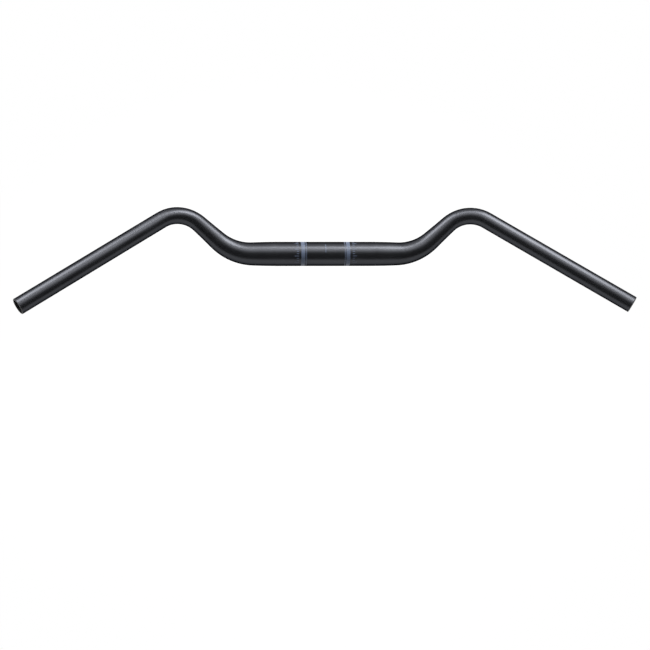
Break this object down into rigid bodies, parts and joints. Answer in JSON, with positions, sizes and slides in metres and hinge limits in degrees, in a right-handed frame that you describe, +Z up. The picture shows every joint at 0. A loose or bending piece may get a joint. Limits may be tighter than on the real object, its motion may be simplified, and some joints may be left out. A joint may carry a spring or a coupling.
{
  "type": "mountain bike handlebar",
  "caption": "Wide one-piece mountain bike handlebar with a thick clamp zone, forward and upward inner bends, and swept-back ends.",
  "frame": {"origin": "centre of the clamped middle, on the tube's axis", "axes": "+X along the clamped middle to the rider's right, +Y forward, +Z up, as the bar sits on a bicycle with its grips level"},
  "size_m": [0.8, 0.1541, 0.0569],
  "materials": {
    "black_bar": "satin black, blasted and anodised"
  },
  "bodies": {
    "root": {"handlebar": "black_bar"}
  },
  "joints": []
}
